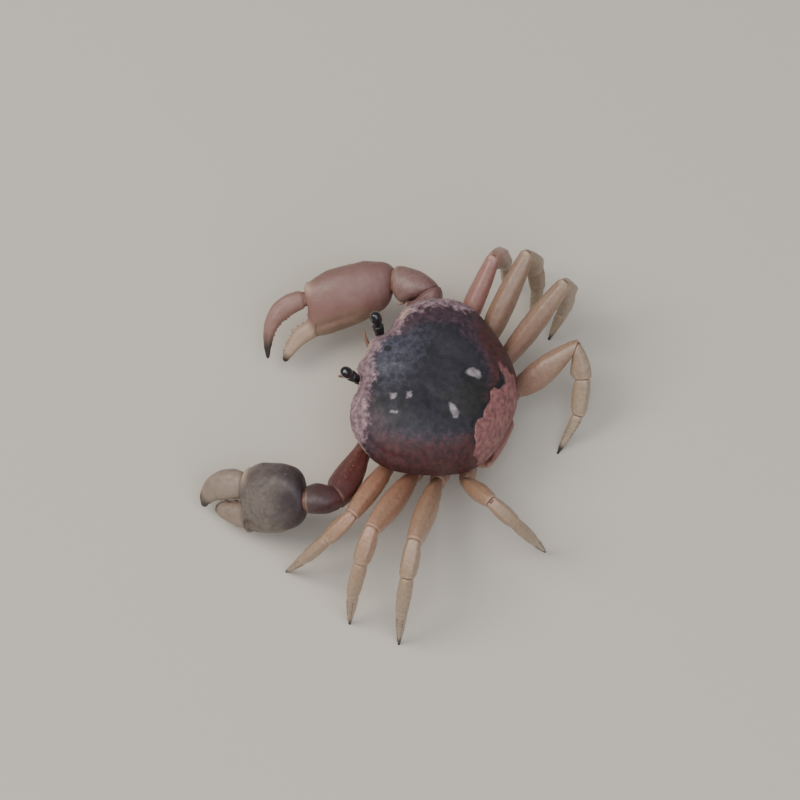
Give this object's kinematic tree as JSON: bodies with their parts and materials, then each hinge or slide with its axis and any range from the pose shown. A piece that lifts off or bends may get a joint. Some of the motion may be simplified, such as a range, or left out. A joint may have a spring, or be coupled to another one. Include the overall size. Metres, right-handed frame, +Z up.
{
  "type": "land crab",
  "caption": "Life-size still model of a land crab with a dark domed shell, raised eyes, tan legs and both claws held forward, standing on its feet.",
  "frame": {"origin": "middle of the whole crab's footprint box, at the floor it stands on", "axes": "+Z up; the crab faces -Y; its left side is on +X"},
  "size_m": [0.0986, 0.083, 0.0319],
  "materials": {
    "carapace_shell": "satin chitin, blue-black crown with red-brown edges and a few pale marks",
    "breast_shell": "dull pale tan chitin",
    "claw_shell": "satin mauve-brown chitin, darker fingertips",
    "claw_shell_grey": "satin grey-brown chitin, dark red near the wrist",
    "leg_shell": "satin orange-tan chitin, paler towards the feet, with dark claw tips",
    "eyestalk": "dark matt chitin",
    "eye": "glossy black",
    "joint_membrane": "soft pinkish skin between the shell pieces",
    "claw_tip": "smooth dark horn at the tips of fingers and feet"
  },
  "bodies": {
    "root": {"abdomen": "breast_shell", "antenna_L": "leg_shell", "antenna_R": "leg_shell", "carapace": "carapace_shell", "claw_L_carpus": "claw_shell_grey", "claw_L_dactyl": "claw_shell_grey", "claw_L_merus": "claw_shell_grey", "claw_L_palm": "claw_shell_grey", "claw_R_carpus": "claw_shell", "claw_R_dactyl": "claw_shell", "claw_R_merus": "claw_shell", "claw_R_palm": "claw_shell", "eye_L": "eye", "eye_R": "eye", "eyestalk_L": "eyestalk", "eyestalk_R": "eyestalk", "leg_L1_carpus": "leg_shell", "leg_L1_dactyl": "leg_shell", "leg_L1_ischium": "leg_shell", "leg_L1_merus": "leg_shell", "leg_L1_propodus": "leg_shell", "leg_L2_carpus": "leg_shell", "leg_L2_dactyl": "leg_shell", "leg_L2_ischium": "leg_shell", "leg_L2_merus": "leg_shell", "leg_L2_propodus": "leg_shell", "leg_L3_carpus": "leg_shell", "leg_L3_dactyl": "leg_shell", "leg_L3_ischium": "leg_shell", "leg_L3_merus": "leg_shell", "leg_L3_propodus": "leg_shell", "leg_L4_carpus": "leg_shell", "leg_L4_dactyl": "leg_shell", "leg_L4_ischium": "leg_shell", "leg_L4_merus": "leg_shell", "leg_L4_propodus": "leg_shell", "leg_R1_carpus": "leg_shell", "leg_R1_dactyl": "leg_shell", "leg_R1_ischium": "leg_shell", "leg_R1_merus": "leg_shell", "leg_R1_propodus": "leg_shell", "leg_R2_carpus": "leg_shell", "leg_R2_dactyl": "leg_shell", "leg_R2_ischium": "leg_shell", "leg_R2_merus": "leg_shell", "leg_R2_propodus": "leg_shell", "leg_R3_carpus": "leg_shell", "leg_R3_dactyl": "leg_shell", "leg_R3_ischium": "leg_shell", "leg_R3_merus": "leg_shell", "leg_R3_propodus": "leg_shell", "leg_R4_carpus": "leg_shell", "leg_R4_dactyl": "leg_shell", "leg_R4_ischium": "leg_shell", "leg_R4_merus": "leg_shell", "leg_R4_propodus": "leg_shell", "maxilliped_L": "breast_shell", "maxilliped_R": "breast_shell", "sternum": "breast_shell"}
  },
  "joints": []
}
